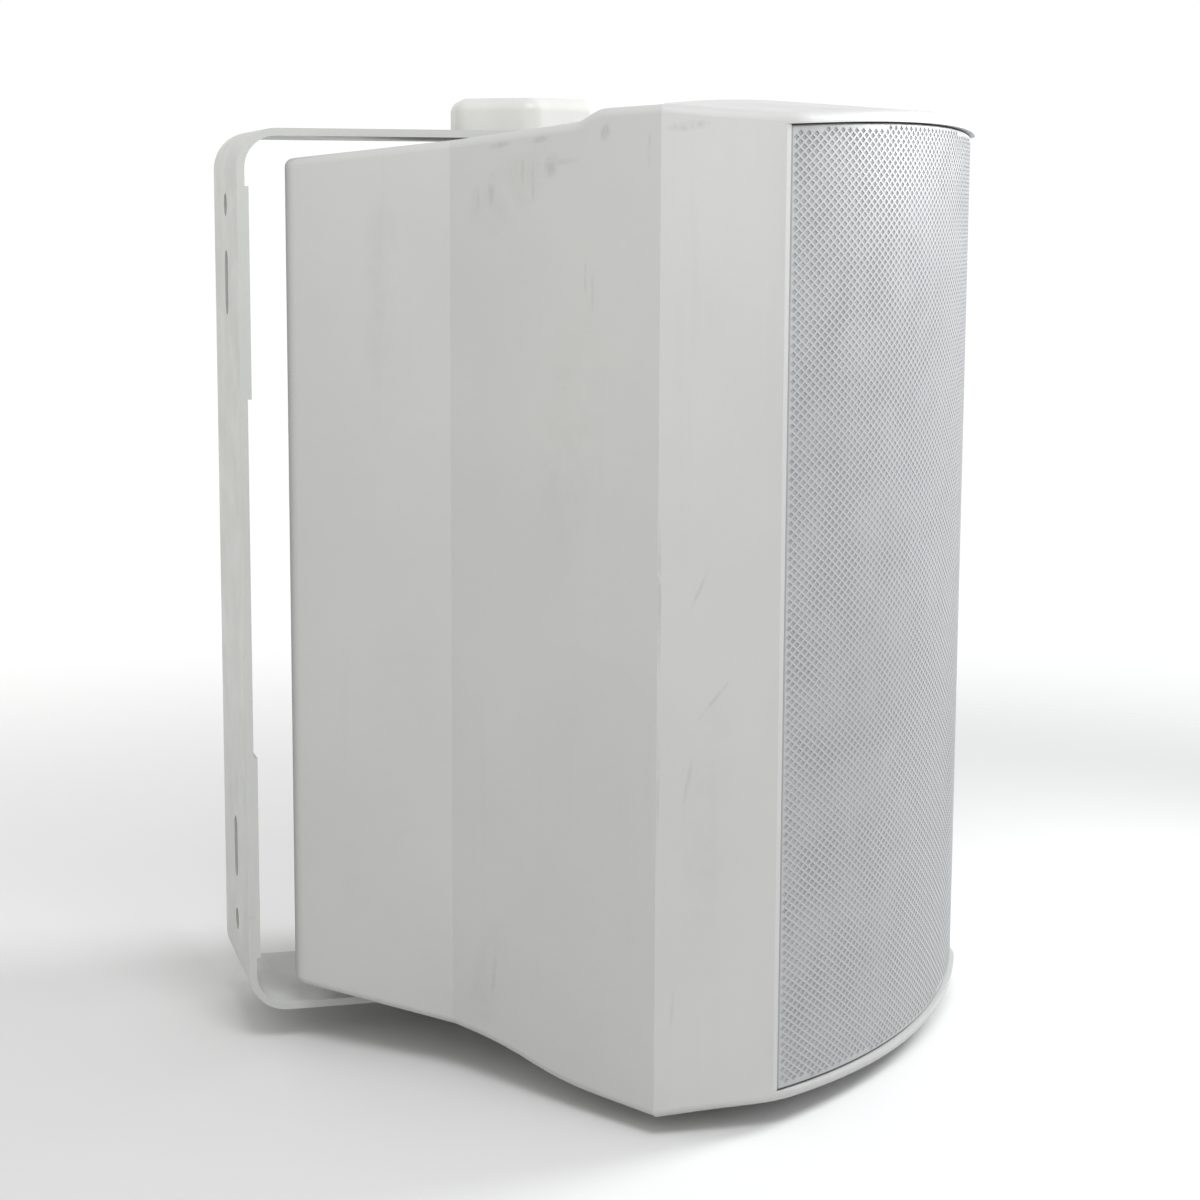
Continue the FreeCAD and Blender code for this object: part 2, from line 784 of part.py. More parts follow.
def tweeter_dome():
    dome = domed_shell(dome_radius, dome_height, dome_sheet, tweeter_back_y - dome_sheet, tweeter_z)
    rim = pipe(
        tweeter_throat_radius - fit_gap,
        dome_radius - 2 * dome_sheet,
        Vector(0, tweeter_back_y, tweeter_z),
        Vector(0, tweeter_back_y - dome_sheet, tweeter_z),
    )
    return dome.fuse(rim).removeSplitter()


def tweeter_magnet():
    start = Vector(0, tweeter_back_y, tweeter_z)
    return rod(tweeter_magnet_radius, start, start.add(Vector(0, tweeter_magnet_depth, 0)))


# Crossover and transformer
board_back_y = rear_inner_y - board_post_length
board_front_y = board_back_y - board_thickness


def post_screws(seats):
    return Part.makeCompound([screw(seat, Y_AXIS, board_post_length) for seat in seats])


def crossover_board():
    board = block(
        (-board_width / 2, board_width / 2),
        (board_front_y, board_back_y),
        (board_z - board_height / 2, board_z + board_height / 2),
    )
    return board.cut(screw_holes(board_seats(board_front_y), Y_AXIS, board_thickness))


def crossover_inductor():
    start = Vector(inductor_x, board_front_y, board_z)
    end = start.sub(Vector(0, inductor_height, 0))
    return pipe(inductor_radius, inductor_bore, start, end)


def crossover_capacitor():
    start = Vector(capacitor_x, board_front_y - capacitor_radius, board_z + capacitor_rise)
    return rod(capacitor_radius, start, start.add(Vector(capacitor_length, 0, 0)))


def crossover_resistor():
    z = board_z - resistor_drop
    return block(
        (resistor_x, resistor_x + resistor_length),
        (board_front_y, board_front_y - resistor_side),
        (z - resistor_side / 2, z + resistor_side / 2),
    )


core_back_y = rear_inner_y - transformer_post_length
core_front_y = core_back_y - core_stack


def transformer_core():
    half_height = core_height / 2
    core = block(
        (-core_width / 2, core_width / 2),
        (core_front_y, core_back_y),
        (transformer_z - half_height, transformer_z + half_height),
    )
    ear_half = core_width / 2 + core_ear
    ears = block(
        (-ear_half, ear_half),
        (core_back_y - core_ear_sheet, core_back_y),
        (transformer_z - core_ear / 2, transformer_z + core_ear / 2),
    )
    windows = [
        block(
            (side * core_leg / 2, side * (core_leg / 2 + core_window)),
            (core_front_y, core_back_y),
            (transformer_z - half_height + core_yoke, transformer_z + half_height - core_yoke),
        )
        for side in (-1, 1)
    ]
    seats = transformer_seats(core_back_y - core_ear_sheet)
    return core.fuse(ears).cut(windows + screw_holes(seats, Y_AXIS, core_ear_sheet)).removeSplitter()


def transformer_coil():
    half_width = core_leg / 2 + core_window - fit_gap
    half_height = core_height / 2 - core_yoke - fit_gap
    coil = block(
        (-half_width, half_width),
        (core_front_y - coil_overhang, core_back_y + coil_overhang),
        (transformer_z - half_height, transformer_z + half_height),
    )
    leg = block(
        (-core_leg / 2 - film_gap, core_leg / 2 + film_gap),
        (core_front_y - film_gap, core_back_y + film_gap),
        (transformer_z - core_height, transformer_z + core_height),
    )
    return coil.cut(leg)


# Terminal cup, its spring terminals and the tap switch
cup_floor_y = rear_y - cup_depth
cup_inside_y = cup_floor_y + cup_wall
block_face_y = cup_inside_y + block_depth
pin_y = cup_inside_y + ear_depth - lever_barrel_radius
pin_z = cup_z - pin_drop


def terminal_cup():
    plate = block(
        (-cup_plate_width / 2, cup_plate_width / 2),
        (rear_y, rear_y + cup_plate_thickness),
        (cup_z - cup_plate_height / 2, cup_z + cup_plate_height / 2),
    )
    tub = block(
        (-cup_width / 2, cup_width / 2),
        (cup_floor_y, rear_y),
        (cup_z - cup_height / 2, cup_z + cup_height / 2),
    )
    room = block(
        (-cup_width / 2 + cup_wall, cup_width / 2 - cup_wall),
        (cup_inside_y, rear_y + 2 * cup_plate_thickness),
        (cup_z - cup_height / 2 + cup_wall, cup_z + cup_height / 2 - cup_wall),
    )
    bore = rod(
        tap_shaft_radius + running_clearance,
        Vector(tap_x, cup_floor_y - cut_over, cup_z),
        Vector(tap_x, cup_inside_y + cut_over, cup_z),
    )
    seats = cup_seats(rear_y + cup_plate_thickness)
    cuts = [room, bore] + screw_holes(seats, Y_AXIS * -1, cup_plate_thickness)
    return plate.fuse(tub).cut(cuts).removeSplitter()


def cup_screws():
    seats = cup_seats(rear_y + cup_plate_thickness)
    return Part.makeCompound([screw(seat, Y_AXIS * -1, 3 * wall) for seat in seats])


def terminal_block():
    """A moulded block with three ears for the lever pin and a wire hole under each lever."""
    body = block(
        (block_x - block_width / 2, block_x + block_width / 2),
        (cup_inside_y, block_face_y),
        (cup_z - block_height / 2, cup_z + block_height / 2),
    )
    ears = [
        block(
            (block_x + i * ear_pitch - ear_thickness / 2, block_x + i * ear_pitch + ear_thickness / 2),
            (block_face_y, cup_inside_y + ear_depth),
            (pin_z - lever_barrel_radius, pin_z + lever_barrel_radius),
        )
        for i in (-1, 0, 1)
    ]
    holes = [
        rod(
            wire_hole_radius,
            Vector(block_x + side * ear_pitch / 2, block_face_y, cup_z + pin_drop),
            Vector(block_x + side * ear_pitch / 2, cup_inside_y + cut_over, cup_z + pin_drop),
        )
        for side in (-1, 1)
    ]
    return body.fuse(ears).cut(holes + [pin_bar(running_clearance)]).removeSplitter()


def pin_bar(extra):
    reach = ear_pitch + ear_thickness / 2
    start = Vector(block_x - reach, pin_y, pin_z)
    return rod(pin_radius + extra, start, start.add(Vector(2 * reach, 0, 0)))


def terminal_lever(side):
    """A push lever that turns on the pin at its foot."""
    middle = block_x + side * ear_pitch / 2
    across = (middle - lever_width / 2, middle + lever_width / 2)
    barrel = rod(lever_barrel_radius, Vector(across[0], pin_y, pin_z), Vector(across[1], pin_y, pin_z))
    plate = block(across, (pin_y, pin_y + lever_thickness), (pin_z, pin_z + lever_length))
    return barrel.fuse(plate).cut(pin_bar(running_clearance)).removeSplitter()


def tap_switch():
    start = Vector(tap_x, cup_floor_y - tap_switch_depth, cup_z)
    return pipe(
        tap_switch_radius, tap_shaft_radius + running_clearance, start, Vector(tap_x, cup_floor_y, cup_z))


def tap_knob():
    """A round knob on its shaft, with a straight grip across its face."""
    foot = Vector(tap_x, cup_inside_y + fit_gap, cup_z)
    face = foot.add(Vector(0, tap_disc_height, 0))
    disc = rod(tap_knob_radius, foot, face)
    shaft = rod(tap_shaft_radius, Vector(tap_x, cup_floor_y - tap_switch_depth + cup_wall, cup_z), face)
    grip = block(
        (tap_x - cup_wall, tap_x + cup_wall),
        (foot.y, foot.y + tap_knob_height),
        (cup_z - tap_knob_radius + cup_wall / 2, cup_z + tap_knob_radius - cup_wall / 2),
    )
    return disc.fuse([shaft, grip]).removeSplitter()


# Pivot hardware, the same above (sign 1) and below (sign -1)
def pivot_insert(sign):
    start = Vector(0, 0, sign * boss_top_z)
    end = Vector(0, 0, sign * (boss_top_z - insert_length))
    return pipe(insert_radius, stud_radius + running_clearance, start, end)


def pivot_washer(sign):
    start = Vector(0, 0, sign * arm_inner_z)
    end = Vector(0, 0, sign * (arm_inner_z - washer_thickness))
    return pipe(boss_radius, arm_hole_radius, start, end)


def pivot_stud(sign):
    start = Vector(0, 0, sign * (arm_outer_z + knob_height / 2))
    return rod(stud_radius, start, Vector(0, 0, sign * (boss_top_z - insert_length + wall)))


def clamp_knob(sign):
    """A six-sided knob with rounded corners and a rounded top edge."""
    corner = knob_across_flats / math.sqrt(3)
    base_z = arm_outer_z + film_gap
    angles = [math.radians(knob_angle + 60 * i) for i in range(6)]
    points = [Vector(corner * math.cos(a), corner * math.sin(a), base_z) for a in angles]
    knob = polygon_face(points).extrude(Vector(0, 0, knob_height))
    sides = [edge for edge in knob.Edges if edge.BoundBox.ZLength > knob_height / 2]
    knob = knob.makeFillet(knob_corner_radius, sides)
    rim = [edge for edge in knob.Edges if edge.BoundBox.ZMin > base_z + knob_height / 2]
    knob = knob.makeFillet(knob_edge_radius, rim)
    knob = knob.cut(rod(stud_radius, Vector(0, 0, base_z), Vector(0, 0, arm_outer_z + knob_height / 2)))
    return knob if sign > 0 else knob.mirror(ORIGIN, Z_AXIS)


# Bracket pieces, in the wall's frame
def rounded_end_bar(y_low, y_high, z_half, radius):
    bar = block((-strap_width / 2, strap_width / 2), (y_low, y_high), (-z_half, z_half))
    corners = [
        edge for edge in bar.Edges
        if edge.BoundBox.XLength > strap_width / 2 and abs(edge.BoundBox.YMin - y_high) < 0.01
    ]
    return bar.makeFillet(radius, corners)


def wall_openings():
    """The two upright slots and two round holes through the back plate."""
    cuts = []
    run = wall_slot_length / 2 - wall_hole_radius
    for sign in (-1, 1):
        middle = sign * wall_slot_spacing / 2
        for z in (middle - run, middle + run):
            cuts.append(rod(wall_hole_radius, Vector(0, 1, z), Vector(0, -pivot_reach / 4, z)))
        cuts.append(block(
            (-wall_hole_radius, wall_hole_radius), (1, -pivot_reach / 4), (middle - run, middle + run)))
        z = sign * wall_hole_spacing / 2
        cuts.append(rod(wall_hole_radius, Vector(0, 1, z), Vector(0, -pivot_reach / 4, z)))
    return cuts


def bracket_strap():
    end_y = -pivot_reach - strap_width
    outer = rounded_end_bar(end_y, 0, arm_outer_z, bend_radius)
    inner = rounded_end_bar(end_y, -strap_thickness, arm_inner_z, bend_radius - strap_thickness)
    pivot = Vector(0, -pivot_reach, -arm_outer_z)
    plan = block(
        (-strap_width / 2, strap_width / 2), (-pivot_reach, 0), (-arm_outer_z, arm_outer_z))
    plan = plan.fuse(Part.makeCylinder(strap_width / 2, 2 * arm_outer_z, pivot, Z_AXIS))
    strap = outer.cut(inner).common(plan)
    pivot_hole = Part.makeCylinder(arm_hole_radius, 2 * arm_outer_z, pivot, Z_AXIS)
    return strap.cut(wall_openings() + [pivot_hole]).removeSplitter()


def stiffener(sign):
    plate = block(
        (-strap_width / 2, strap_width / 2),
        (-strap_thickness - stiffener_thickness, -strap_thickness),
        (sign * stiffener_low, sign * stiffener_high),
    )
    return plate.cut(wall_openings()).removeSplitter()


# Every node: the bracket's pieces stay in the wall's frame, the rest turn with the cabinet
bracket_nodes = {
    "bracket_strap": bracket_strap(),
    "upper_stiffener": stiffener(1),
    "lower_stiffener": stiffener(-1),
}
pivot_nodes = {
    "upper_washer": pivot_washer(1),
    "lower_washer": pivot_washer(-1),
    "upper_knob": clamp_knob(1),
    "lower_knob": clamp_knob(-1),
    "upper_stud": pivot_stud(1),
    "lower_stud": pivot_stud(-1),
}
cabinet_nodes = {
    "rear_cabinet": rear_cabinet(),
    "front_baffle": front_baffle(),
    "seam_seal": seam_seal(),
    "cabinet_screws": cabinet_screws(),
    "grille": grille(),
    "grille_cloth": grille_cloth(),
    "woofer_basket": woofer_basket(),
    "woofer_gasket": woofer_gasket(),
    "woofer_surround": woofer_surround(),
    "woofer_cone": woofer_cone(),
    "woofer_dust_cap": woofer_dust_cap(),
    "woofer_voice_coil": woofer_voice_coil(),
    "woofer_spider": woofer_spider(),
    "woofer_top_plate": woofer_top_plate(),
    "woofer_magnet": woofer_magnet(),
    "woofer_yoke": woofer_yoke(),
    "woofer_screws": ring_of_screws(4, woofer_screw_circle, woofer_z, woofer_face_y),
    "tweeter_faceplate": tweeter_faceplate(),
    "tweeter_dome": tweeter_dome(),
    "tweeter_magnet": tweeter_magnet(),
    "tweeter_screws": ring_of_screws(4, tweeter_screw_circle, tweeter_z, tweeter_face_y),
    "crossover_board": crossover_board(),
    "crossover_inductor": crossover_inductor(),
    "crossover_capacitor": crossover_capacitor(),
    "crossover_resistor": crossover_resistor(),
    "crossover_screws": post_screws(board_seats(board_front_y)),
    "transformer_core": transformer_core(),
    "transformer_coil": transformer_coil(),
    "transformer_screws": post_screws(transformer_seats(core_back_y - core_ear_sheet)),
    "terminal_cup": terminal_cup(),
    "cup_screws": cup_screws(),
    "terminal_block": terminal_block(),
    "terminal_pin": pin_bar(0.0),
    "red_lever": terminal_lever(-1),
    "black_lever": terminal_lever(1),
    "tap_switch": tap_switch(),
    "tap_knob": tap_knob(),
    "upper_insert": pivot_insert(1),
    "lower_insert": pivot_insert(-1),
}

for shape in cabinet_nodes.values():
    shape.rotate(ORIGIN, Z_AXIS, swivel_at_rest)
for shape in list(cabinet_nodes.values()) + list(pivot_nodes.values()):
    shape.translate(Vector(0, -pivot_reach, 0))

os.makedirs("parts", exist_ok=True)
for node, shape in {**bracket_nodes, **pivot_nodes, **cabinet_nodes}.items():
    shape.exportStep(f"parts/{node}.step")
    print(node, len(shape.Solids), shape.isValid(), round(shape.Volume / 1000, 2))
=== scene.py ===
import math

import bmesh
import bpy
from mathutils import Matrix, Vector
from mathutils.geometry import delaunay_2d_cdt


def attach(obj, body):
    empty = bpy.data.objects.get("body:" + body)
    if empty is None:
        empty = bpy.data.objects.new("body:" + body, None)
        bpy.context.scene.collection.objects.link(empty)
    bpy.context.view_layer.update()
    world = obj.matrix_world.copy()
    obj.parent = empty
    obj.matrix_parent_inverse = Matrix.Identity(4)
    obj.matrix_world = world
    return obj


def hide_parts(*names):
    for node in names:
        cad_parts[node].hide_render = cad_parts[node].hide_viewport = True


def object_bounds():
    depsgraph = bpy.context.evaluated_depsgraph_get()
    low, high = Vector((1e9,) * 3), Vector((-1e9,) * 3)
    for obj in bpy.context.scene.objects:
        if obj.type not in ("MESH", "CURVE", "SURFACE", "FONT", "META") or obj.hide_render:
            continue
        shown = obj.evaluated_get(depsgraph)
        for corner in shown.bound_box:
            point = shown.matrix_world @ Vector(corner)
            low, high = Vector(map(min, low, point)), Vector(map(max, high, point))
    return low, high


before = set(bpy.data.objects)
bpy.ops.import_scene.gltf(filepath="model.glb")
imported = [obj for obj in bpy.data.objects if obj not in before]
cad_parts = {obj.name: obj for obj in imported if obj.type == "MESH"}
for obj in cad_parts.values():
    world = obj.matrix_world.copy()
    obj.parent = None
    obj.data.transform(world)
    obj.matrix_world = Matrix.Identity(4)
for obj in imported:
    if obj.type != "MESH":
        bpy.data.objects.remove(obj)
box_at_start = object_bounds()

# Sizes of the speaker, in metres
swivel = math.radians(-40.6)
pivot = Vector((0.0, -0.095, 0.0))
crown_radius = 0.2613
crown_reach = 0.1367
lip_reach = 0.112
floor_z = box_at_start[0][2]

# Grille sheet
grille_half_width = 0.0802
grille_half_height = 0.1383
pocket_half_width = 0.0805
pocket_drop = 0.0022
grille_setback = 0.0015
sheet = 0.001
sheet_depth = 0.0013
hole_depth = 0.00016
hole_column = 0.00181
hole_row = 0.00123
open_share = 0.69
plain_border = 0.0006
edge_roll = ((0.0, 0.0011), (0.0002, 0.0004), (0.0005, 0.0))
return_inset = 0.0003
arc_steps = 64
side_steps = 48

# Floor: half its side, and where it starts and ends to fade, away from below the speaker
floor_half = 2.0
floor_middle = (-0.03, -0.12, floor_z)
fade_start = 0.20
fade_end = 0.80

# Surround: its strength, and how that changes behind the speaker and overhead
surround_strength = 0.965
surround_changes = (("X", 0.30, 0.85, 0.06), ("Z", 0.30, 1.0, -0.34))

# Camera, solved from the photo
camera_at = Vector((-0.8164, 0.1027, 0.1146))
camera_yaw = math.radians(-15.32)
camera_pitch = math.radians(8.66)
camera_roll = math.radians(0.26)
lens = 2599.0 / 1200.0 * 36.0


# Cabinet coordinates: lateral, reach ahead of the pivot, height
to_row = Matrix.Translation(pivot) @ Matrix.Rotation(swivel, 4, "Z")


def cabinet_point(lateral, reach, height):
    return to_row @ Vector((lateral, -reach, height))


# Shader helpers
class Shader:
    def __init__(self, name):
        self.material = bpy.data.materials.new(name)
        self.material.use_nodes = True
        self.nodes = self.material.node_tree.nodes
        self.links = self.material.node_tree.links
        self.bsdf = self.nodes["Principled BSDF"]
        self.coords = self.nodes.new("ShaderNodeTexCoord").outputs["Object"]

    def join(self, value, socket):
        if isinstance(value, bpy.types.NodeSocket):
            self.links.new(value, socket)
        else:
            socket.default_value = value

    def noise(self, scale, detail=3.0, roughness=0.5, stretch=None):
        node = self.nodes.new("ShaderNodeTexNoise")
        node.inputs["Scale"].default_value = scale
        node.inputs["Detail"].default_value = detail
        node.inputs["Roughness"].default_value = roughness
        self.links.new(self.stretched(stretch), node.inputs["Vector"])
        return node.outputs[0]

    def stretched(self, stretch):
        if stretch is None:
            return self.coords
        node = self.nodes.new("ShaderNodeMapping")
        node.inputs["Scale"].default_value = stretch
        self.links.new(self.coords, node.inputs["Vector"])
        return node.outputs[0]

    def cells(self, scale):
        node = self.nodes.new("ShaderNodeTexVoronoi")
        node.inputs["Scale"].default_value = scale
        self.links.new(self.coords, node.inputs["Vector"])
        return node.outputs["Distance"]

    def remap(self, value, low, high, start=0.0, end=1.0):
        node = self.nodes.new("ShaderNodeMapRange")
        node.interpolation_type = "SMOOTHSTEP"
        self.links.new(value, node.inputs["Value"])
        node.inputs["From Min"].default_value = low
        node.inputs["From Max"].default_value = high
        node.inputs["To Min"].default_value = start
        node.inputs["To Max"].default_value = end
        return node.outputs["Result"]

    def sum(self, first, second, operation="ADD"):
        node = self.nodes.new("ShaderNodeMath")
        node.operation = operation
        self.join(first, node.inputs[0])
        self.join(second, node.inputs[1])
        return node.outputs[0]

    def blend(self, share, first, second):
        node = self.nodes.new("ShaderNodeMix")
        node.data_type = "RGBA"
        self.join(share, node.inputs[0])
        self.join(first, node.inputs[6])
        self.join(second, node.inputs[7])
        return node.outputs[2]

    def bump(self, height, strength, distance):
        node = self.nodes.new("ShaderNodeBump")
        node.inputs["Strength"].default_value = strength
        node.inputs["Distance"].default_value = distance
        self.links.new(height, node.inputs["Height"])
        self.links.new(node.outputs["Normal"], self.bsdf.inputs["Normal"])

    def mark(self, centre, along, across, length, width):
        offset = self.nodes.new("ShaderNodeVectorMath")
        offset.operation = "SUBTRACT"
        self.links.new(self.coords, offset.inputs[0])
        offset.inputs[1].default_value = centre
        parts = []
        for axis, size in ((along, length), (across, width), (along.cross(across), width)):
            dot = self.nodes.new("ShaderNodeVectorMath")
            dot.operation = "DOT_PRODUCT"
            self.links.new(offset.outputs[0], dot.inputs[0])
            dot.inputs[1].default_value = axis / size
            parts.append(self.sum(dot.outputs["Value"], 2.0, "POWER"))
        distance = self.sum(self.sum(parts[0], parts[1]), parts[2])
        return self.sum(self.remap(distance, 1.0, 0.0), 1.5, "POWER")

    def set(self, **values):
        for name, value in values.items():
            self.join(value, self.bsdf.inputs[name.replace("_", " ")])


def rgb(red, green, blue):
    return (red, green, blue, 1.0)


def shade(colour, factor):
    return rgb(*(min(1.0, channel * factor) for channel in colour[:3]))


# A plain finish: mottled colour, uneven gloss and a fine grain
def finish(name, colour, gloss, grain, metal=0.0, depth=0.00005, contrast=0.08):
    s = Shader(name)
    mottle = s.remap(s.noise(60.0, 4.0), 0.3, 0.7)
    base = s.blend(mottle, shade(colour, 1.0 - contrast), shade(colour, 1.0 + contrast))
    polish = s.remap(s.noise(25.0, 5.0, 0.6), 0.3, 0.7, gloss * 0.85, min(1.0, gloss * 1.15))
    s.set(Base_Color=base, Roughness=polish, Metallic=metal)
    s.bump(s.noise(grain, 2.0), 0.3, depth)
    return s.material


# Moulded white plastic of the cabinet, with the scuffs and smudges of use, and a painted shade line
# along the seam between the mouldings
facet_lines = {
    "rear": ((-0.076, -0.041), (-0.0785, 0.016)),
    "middle": ((-0.0785, 0.016), (-0.1045, 0.0945)),
    "front": ((-0.1045, 0.0945), (-0.082, 0.1235)),
}
scuffs_and_seam_shade = (
    ("middle", 0.0263, 0.1155, 88.0, 0.0056, 0.0026, 0.45),
    ("middle", 0.0325, 0.1190, 86.0, 0.0062, 0.0019, 0.55),
    ("middle", 0.0553, 0.1252, 60.0, 0.0046, 0.0036, 0.70),
    ("middle", 0.0600, 0.1262, 5.0, 0.0080, 0.0012, 0.40),
    ("middle", 0.0485, 0.1205, 90.0, 0.0075, 0.0009, 0.50),
    ("middle", 0.0445, 0.1235, 90.0, 0.0055, 0.0010, 0.45),
    ("middle", 0.0357, 0.1310, 6.0, 0.0060, 0.0013, 0.65),
    ("middle", 0.0510, 0.1324, 8.0, 0.0048, 0.0013, 0.65),
    ("middle", 0.0750, 0.1340, 60.0, 0.0034, 0.0024, 0.75),
    ("middle", 0.0680, 0.0950, 90.0, 0.0070, 0.0008, 0.40),
    ("middle", 0.0705, 0.0910, 90.0, 0.0080, 0.0008, 0.40),
    ("middle", 0.0905, 0.1290, 88.0, 0.0070, 0.0010, 0.50),
    ("middle", 0.0330, -0.1120, 85.0, 0.0120, 0.0012, 0.45),
    ("front", 0.1005, 0.1355, 8.0, 0.0075, 0.0018, 0.75),
    ("front", 0.1040, 0.0100, 65.0, 0.0090, 0.0008, 0.50),
    ("front", 0.1076, -0.0210, 50.0, 0.0100, 0.0008, 0.50),
    ("front", 0.1017, -0.0440, 80.0, 0.0090, 0.0009, 0.50),
    ("front", 0.0985, -0.1080, 88.0, 0.0090, 0.0008, 0.50),
    # The last two marks are painted shade: dark lines along the seam between the rear cabinet and
    # the front baffle, standing in for the shadow in the seam gap
    ("front", 0.0949, 0.0070, 90.0, 0.0260, 0.0008, 0.80),
    ("front", 0.0949, -0.0450, 90.0, 0.0200, 0.0007, 0.50),
)
smudges = (
    ("rear", -0.0080, 0.1010, 80.0, 0.0200, 0.0080, 0.50),
    ("rear", -0.0080, 0.0770, 85.0, 0.0200, 0.0070, 0.45),
    ("middle", 0.0400, 0.1190, 35.0, 0.0260, 0.0110, 0.55),
    ("middle", 0.0300, -0.1150, 75.0, 0.0260, 0.0090, 0.50),
    ("middle", 0.0620, 0.0500, 80.0, 0.0600, 0.0160, 0.35),
    ("front", 0.1060, -0.0550, 85.0, 0.0500, 0.0090, 0.35),
)


def facet_mark(s, facet, reach, height, lean, length, width):
    start, end = facet_lines[facet]
    share = (reach - start[1]) / (end[1] - start[1])
    lateral = start[0] + share * (end[0] - start[0])
    ahead = (cabinet_point(*end, 0.0) - cabinet_point(*start, 0.0)).normalized()
    up = Vector((0.0, 0.0, 1.0))
    angle = math.radians(lean)
    along = ahead * math.cos(angle) + up * math.sin(angle)
    across = up * math.cos(angle) - ahead * math.sin(angle)
    return s.mark(cabinet_point(lateral, reach, height), along, across, length, width)


def strongest(s, entries):
    total = None
    for *place, strength in entries:
        spot = s.sum(facet_mark(s, *place), strength, "MULTIPLY")
        total = spot if total is None else s.sum(total, spot, "MAXIMUM")
    return total


def white_abs():
    s = Shader("white_abs")
    mottle = s.remap(s.noise(14.0, 4.0), 0.3, 0.75)
    base = s.blend(mottle, rgb(0.466, 0.465, 0.459), rgb(0.490, 0.488, 0.480))
    streaks = s.remap(s.noise(160.0, 3.0, 0.6, (1.0, 1.0, 0.05)), 0.55, 0.80, 0.0, 0.30)
    base = s.blend(streaks, base, rgb(0.420, 0.420, 0.416))
    patchy = s.remap(s.noise(110.0, 4.0, 0.65), 0.30, 0.70)
    soiled = s.sum(strongest(s, smudges), patchy, "MULTIPLY")
    base = s.blend(s.sum(soiled, 0.40, "MULTIPLY"), base, rgb(0.330, 0.326, 0.315))
    broken = s.remap(s.noise(420.0, 4.0, 0.7, (1.0, 1.0, 0.45)), 0.30, 0.60)
    # Scuffs and the painted seam shade darken the colour and roughen the gloss
    wear_and_seam_shade = s.sum(strongest(s, scuffs_and_seam_shade), broken, "MULTIPLY")
    base = s.blend(s.sum(wear_and_seam_shade, 0.42, "MULTIPLY"), base, rgb(0.23, 0.23, 0.23))
    gloss = s.remap(s.noise(40.0, 5.0, 0.65), 0.3, 0.7, 0.42, 0.58)
    s.set(Base_Color=base, Roughness=s.sum(gloss, s.sum(wear_and_seam_shade, 0.2, "MULTIPLY")))
    s.bump(s.sum(s.noise(1400.0, 2.0), s.cells(1100.0)), 0.22, 0.00006)
    return s.material


def white_paint(name, colour):
    s = Shader(name)
    base = s.blend(s.remap(s.noise(18.0, 4.0), 0.3, 0.7), shade(colour, 0.965), shade(colour, 1.02))
    dust = s.remap(s.noise(240.0, 4.0, 0.7), 0.60, 0.80, 0.0, 0.25)
    base = s.blend(dust, base, shade(colour, 0.78))
    s.set(Base_Color=base, Roughness=s.remap(s.noise(60.0, 4.0, 0.6), 0.3, 0.7, 0.33, 0.46))
    s.bump(s.noise(900.0, 2.0), 0.18, 0.00005)
    return s.material


materials = {
    "white_painted_steel": white_paint("white_painted_steel", rgb(0.490, 0.495, 0.480)),
    "white_abs": white_abs(),
    "white_knob_plastic": finish(
        "white_knob_plastic", rgb(0.600, 0.594, 0.575), 0.36, 1500.0, contrast=0.03
    ),
    "black_rubber": finish("black_rubber", rgb(0.030, 0.030, 0.031), 0.75, 800.0),
    "zinc_steel": finish("zinc_steel", rgb(0.620, 0.630, 0.640), 0.32, 900.0, metal=1.0),
    "black_painted_steel": finish("black_painted_steel", rgb(0.035, 0.035, 0.037), 0.45, 900.0),
    "ferrite": finish("ferrite", rgb(0.060, 0.058, 0.057), 0.70, 600.0),
    "cone_paper": finish("cone_paper", rgb(0.055, 0.053, 0.050), 0.85, 500.0, contrast=0.25),
    "coil_copper": finish("coil_copper", rgb(0.720, 0.350, 0.180), 0.35, 1800.0, metal=1.0),
    "black_abs": finish("black_abs", rgb(0.028, 0.028, 0.029), 0.50, 1200.0),
    "red_abs": finish("red_abs", rgb(0.520, 0.030, 0.025), 0.45, 1200.0),
    "dome_silk": finish("dome_silk", rgb(0.060, 0.058, 0.062), 0.70, 1500.0),
    "grey_cloth": finish("grey_cloth", rgb(0.310, 0.313, 0.317), 0.95, 2200.0, contrast=0.10),
    "board_green": finish("board_green", rgb(0.030, 0.170, 0.070), 0.45, 700.0),
    "component_grey": finish("component_grey", rgb(0.300, 0.310, 0.330), 0.50, 700.0),
    "core_steel": finish("core_steel", rgb(0.340, 0.345, 0.350), 0.45, 700.0, metal=0.8),
    "brass": finish("brass", rgb(0.780, 0.570, 0.250), 0.35, 900.0, metal=1.0),
}
# The grille's paint is a darker copy of the white painted steel: the darkening is painted shade for
# the recessed, perforated grille
grille_paint_with_painted_shade = white_paint("grille_paint_with_painted_shade", rgb(0.370, 0.373, 0.379))

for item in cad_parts.values():
    slot = item.data.materials[0].name.split(".")[0]
    item.data.materials.clear()
    item.data.materials.append(materials[slot])


# Perforated grille: a closed sheet with blind diamond holes and rolled edges, and a plain return
front_radius = crown_radius - grille_setback
crown_centre = crown_reach - crown_radius
half_arc = front_radius * math.asin(grille_half_width / front_radius)
arch_radius = (pocket_half_width ** 2 + pocket_drop ** 2) / (2 * pocket_drop)


def sheet_point(arc, height, depth):
    angle = arc / front_radius
    radius = front_radius - depth
    return cabinet_point(radius * math.sin(angle), crown_centre + radius * math.cos(angle), height)


def half_height_at(lateral):
    return grille_half_height - arch_radius + math.sqrt(arch_radius ** 2 - lateral ** 2)


def sheet_half_height(arc):
    return half_height_at(front_radius * math.sin(arc / front_radius))


def lattice(line):
    return line // 2 + (open_share / 2 if line % 2 else -open_share / 2)


def lattice_point(line, row):
    first = lattice(line)
    second = lattice(row)
    return (first - second) * hole_column, (first + second) * hole_row


